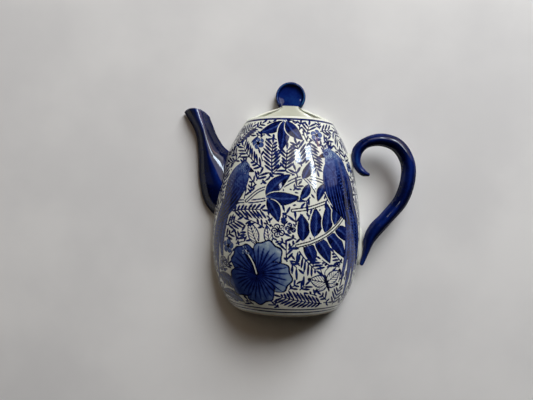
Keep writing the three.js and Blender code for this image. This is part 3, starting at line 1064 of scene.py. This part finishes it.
# From the tip of the scroll, over the arch, to the tail: across, up, out and radius.
HANDLE = (
    (64.2, 112.9, 17, 1.5), (60.4, 114.2, 17, 2.8), (56.6, 117.8, 17, 3.1), (54.2, 124, 17, 3.6),
    (55.4, 132.2, 17, 4.4), (62.4, 138.8, 17, 4.4), (74.4, 141.3, 17, 5.2), (87.3, 136.9, 17, 5.7),
    (95.6, 124.6, 17, 5.8), (96.6, 110, 17, 6), (91.6, 93.2, 17, 5.9), (80.6, 78.8, 17, 5.6),
    (71.8, 68.6, 16.5, 5.9), (67.6, 60.5, 15, 4.8), (65.7, 52, 14, 2.8), (64.2, 45.5, 13, 2.1),
    (62.3, 39.9, 12.5, 1.6),
)
HANDLE_RIDGE = 1.12


def handle():
    """One sweep along the handle's line, with a soft ridge down the front and round ends.

    The sides that face up are painted paler, as painted light from above; the front ridge and the stretches
    near the scroll and the tail are paler where the glaze lies thinner.
    """
    line = curve(HANDLE, 0.9)
    ahead = unit(np.gradient(line[:, :2], axis=0))
    rings, thin_glaze_and_painted_light = [], []
    turn = full_turn(48)
    wide, deep = bulge(np.cos(turn), HANDLE_RIDGE), bulge(np.sin(turn), HANDLE_RIDGE)
    ridge = 0.3 + 0.2 * np.exp(-((turn - np.pi / 2) / 0.28) ** 2)

    def ring(i, past, a, paler):
        """A ring round a point of the line, or on the round cap past it, an angle away from the cap's end."""
        radius = line[i, 3] * math.sin(a)
        centre = line[i, :2] + past * ahead[i] * line[i, 3] * math.cos(a)
        across = centre[0] - ahead[i, 1] * wide * radius
        up = centre[1] + ahead[i, 0] * wide * radius
        rings.append(at(across, line[i, 2] + deep * radius, up))
        # Painted light: the section's up-facing side is made paler; the ridge and paler terms stand for glaze
        # lying thinner.
        thin_glaze_and_painted_light.append(np.clip(ridge + 0.25 * ahead[i, 0] * wide + paler, 0, 1))

    cap = (0.15, 0.45, 0.75, 1.05, 1.3)
    for a in cap:
        ring(0, -1, a, 0.0)
    for i in range(len(line)):
        ring(i, 0, np.pi / 2, 0.35 * math.exp(-((i - 17) / 9) ** 2) + 0.4 * math.exp((i - len(line)) / 22))
    for a in cap[::-1]:
        ring(-1, 1, a, 0.35)
    made = loft("handle_scrolled", rings)
    attribute(made, "thin_glaze_and_painted_light", thin_glaze_and_painted_light)
    return made


def slip_pad(name, cutter, across, up, out, half_wide, half_high, half_deep):
    """A lump of cream slip between the handle and the body."""
    rings = []
    turn = full_turn(56)
    for a in np.linspace(-np.pi / 2 + 0.06, np.pi / 2 - 0.06, 40):
        share = math.cos(a) * (1 + 0.03 * np.sin(3 * turn + 4 * a))
        rings.append(at(across + half_wide * np.cos(turn) * share, out + half_deep * np.sin(turn) * share,
                        up + half_high * math.sin(a)))
    made = loft(name, rings)
    cut(made, cutter)
    return made


# ---- assembly ----

front_wall()
cream = cream_glaze()
navy = navy_glaze()
shown(back_plate(), cream, "cream_glaze", "back_wall")
shown(pocket_floor(), cream, "cream_glaze", "pocket_floor")
shown(foot_ring(), bare_clay(), "bare_ceramic", "foot_ring")
shown(mouth_lip(), cream, "cream_glaze", "mouth_lip")
shown(lid(), cream, "cream_glaze", "lid_panel", "lid_neck")
shown(knob(), navy, "navy_glaze", "lid_knob")
half_wall = inner_cutter()
shown(spout(half_wall), navy, "navy_glaze", "spout")
shown(handle(), navy, "navy_glaze", "handle_scroll", "handle_arch", "handle_tail")
for name, node, *sizes in (("upper_slip_pad", "handle_upper_pad", 49, 121, 11.5, 4.5, 9.5, 6.5),
                           ("lower_slip_pad", "handle_lower_pad", 59.6, 54.5, 8.5, 4.6, 16.5, 5.5)):
    shown(slip_pad(name, half_wall, *sizes), cream, "cream_glaze", node)
bpy.data.objects.remove(half_wall)

# ---- stage ----


def board_material():
    """Pale, faintly clouded board; from behind it is clear, so that the pot's back can be seen."""
    shader = Shader("pale_board")
    colour = shader.mix(shader.patches(9, 4), srgb("e0e1e1"), srgb("ecedec"))
    shader.finish({"Base Color": colour, "Roughness": 0.85, "Specular IOR Level": 0.2})
    behind = shader.add("NewGeometry").outputs["Backfacing"]
    clear = shader.add("BsdfTransparent").outputs[0]
    both = shader.add("MixShader", {0: behind, 1: shader.surface.outputs[0], 2: clear})
    shader.put(shader.tree.nodes["Material Output"], "Surface", both.outputs[0])
    return shader.material


def sheet(name, corner, along, across, material):
    """A rectangle, from one of its corners and its two sides there."""
    corner, along, across = Vector(corner), Vector(along), Vector(across)
    mesh = bpy.data.meshes.new(name)
    mesh.from_pydata([corner, corner + along, corner + along + across, corner + across], [], [(0, 1, 2, 3)])
    mesh.materials.append(material)
    made = placed(name, mesh)
    made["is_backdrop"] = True
    return made


board = board_material()
FLOOR_Z = -0.35
upright = sheet("board", (-0.9, BACK_Y + 0.0004, FLOOR_Z), (1.8, 0, 0), (0, 0, 1.2), board)
upright.visible_shadow = False      # so that the light behind it reaches the pot's back
level = sheet("floor", (-1.5, -1.5, FLOOR_Z), (3, 0, 0), (0, 3, 0), board)
level.visible_glossy = False        # so that it neither veils the glaze nor fills the shadows
level.visible_diffuse = False

world = bpy.data.worlds.new("studio")
scene.world = world
world.use_nodes = True
backdrop = world.node_tree.nodes["Background"].inputs
backdrop["Color"].default_value = srgb("e6e4e0")
backdrop["Strength"].default_value = 0.8
world.cycles_visibility.diffuse = False     # a pale backdrop, and no light
world.cycles_visibility.glossy = False


POT = Vector((MIDDLE_X, BACK_Y - 0.03, FOOT_Z + 0.09))
WINDOW = Vector((0.39, -0.67, 0.63)).normalized()
DAYLIGHT = Vector((0.33, -0.56, 0.76)).normalized()
WINDOW_RIGHT = WINDOW.cross(Vector((0, 0, -1))).normalized()
WINDOW_UP = WINDOW_RIGHT.cross(-WINDOW).normalized()


def area_light(name, offset, wide, high, radiance, colour, facing=None, glossy=True, diffuse=True):
    """A soft, even, rectangular light off the pot, which faces it unless told otherwise."""
    offset = Vector(offset)
    data = bpy.data.lights.new(name, "AREA")
    data.shape = "RECTANGLE"
    data.size, data.size_y = wide, high
    data.energy = radiance * math.pi * wide * high
    data.color = srgb(colour)[:3]
    made = placed(name, data)
    made.location = POT + offset
    made.rotation_euler = (facing or -offset).to_track_quat("-Z", "Y").to_euler()
    made.visible_camera = False
    made.visible_glossy = glossy
    made.visible_diffuse = diffuse


def window_light(name, across, up, wide, high, radiance, colour, away=1.3):
    """A light in the window's plane, at a distance from the pot, which shows only in the glaze."""
    offset = WINDOW * away + WINDOW_RIGHT * across + WINDOW_UP * up
    area_light(name, offset, wide, high, radiance, colour, facing=-WINDOW, diffuse=False)


window_light("pane_left", -0.28, 0.0, 0.17, 0.2, 22, "e0f0ff")
window_light("pane_right", 0.11, 0.0, 0.21, 0.2, 22, "e0f0ff")
window_light("pane_slit", 0.19, -0.3, 0.13, 0.38, 18, "e0f0ff")
window_light("frame_edge", 0.55, 0.12, 0.05, 0.36, 5, "ff9a68")
window_light("curtain", 0.0, 0.0, 1.2, 1.0, 2.1, "ece6dc", away=1.34)
window_light("lamp", -1.1, -0.3, 0.09, 0.08, 14, "f4f8ff")
area_light("daylight", DAYLIGHT * 1.7, 0.95, 0.95, 11.6, "fdfdff", glossy=False)
area_light("ceiling", (-0.4, -1.6, 1.0), 2.0, 1.4, 0.5, "ffe2c4", glossy=False)
area_light("right_room", (1.15, -0.4, 0.85), 0.55, 0.9, 1.3, "dcd8f0", diffuse=False)
area_light("left_room", (-1.5, -0.4, 0.3), 1.0, 1.2, 0.13, "dfe6ff", diffuse=False)
area_light("behind", (0.5, 1.6, 0.6), 1.0, 1.0, 2.4, "ffffff")

# ---- camera ----

CAMERA_LEFT, CAMERA_BACK, CAMERA_UP = 0.0174, 0.380, 0.0896     # from the foot of the pot's middle line
CAMERA_LENS = 30.24
CAMERA_ROLL = math.radians(1.83)

data = bpy.data.cameras.new("camera")
data.sensor_width = 36
data.lens = CAMERA_LENS
data.clip_start = 0.01
camera = placed("camera", data)
c, s = math.cos(CAMERA_ROLL), math.sin(CAMERA_ROLL)
axes = Matrix(((c, 0, s), (-s, 0, c), (0, -1, 0))).transposed().to_4x4()
eye = Vector((MIDDLE_X - CAMERA_LEFT, BACK_Y - CAMERA_BACK, FOOT_Z + CAMERA_UP))
camera.matrix_world = Matrix.Translation(eye) @ axes
bpy.context.scene.camera = camera
scene.view_settings.view_transform = "Standard"

# ---- sizes, and the end ----

sizes = {"cad": [list(corner) for corner in cad_box], "visual": [list(corner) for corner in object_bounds()]}
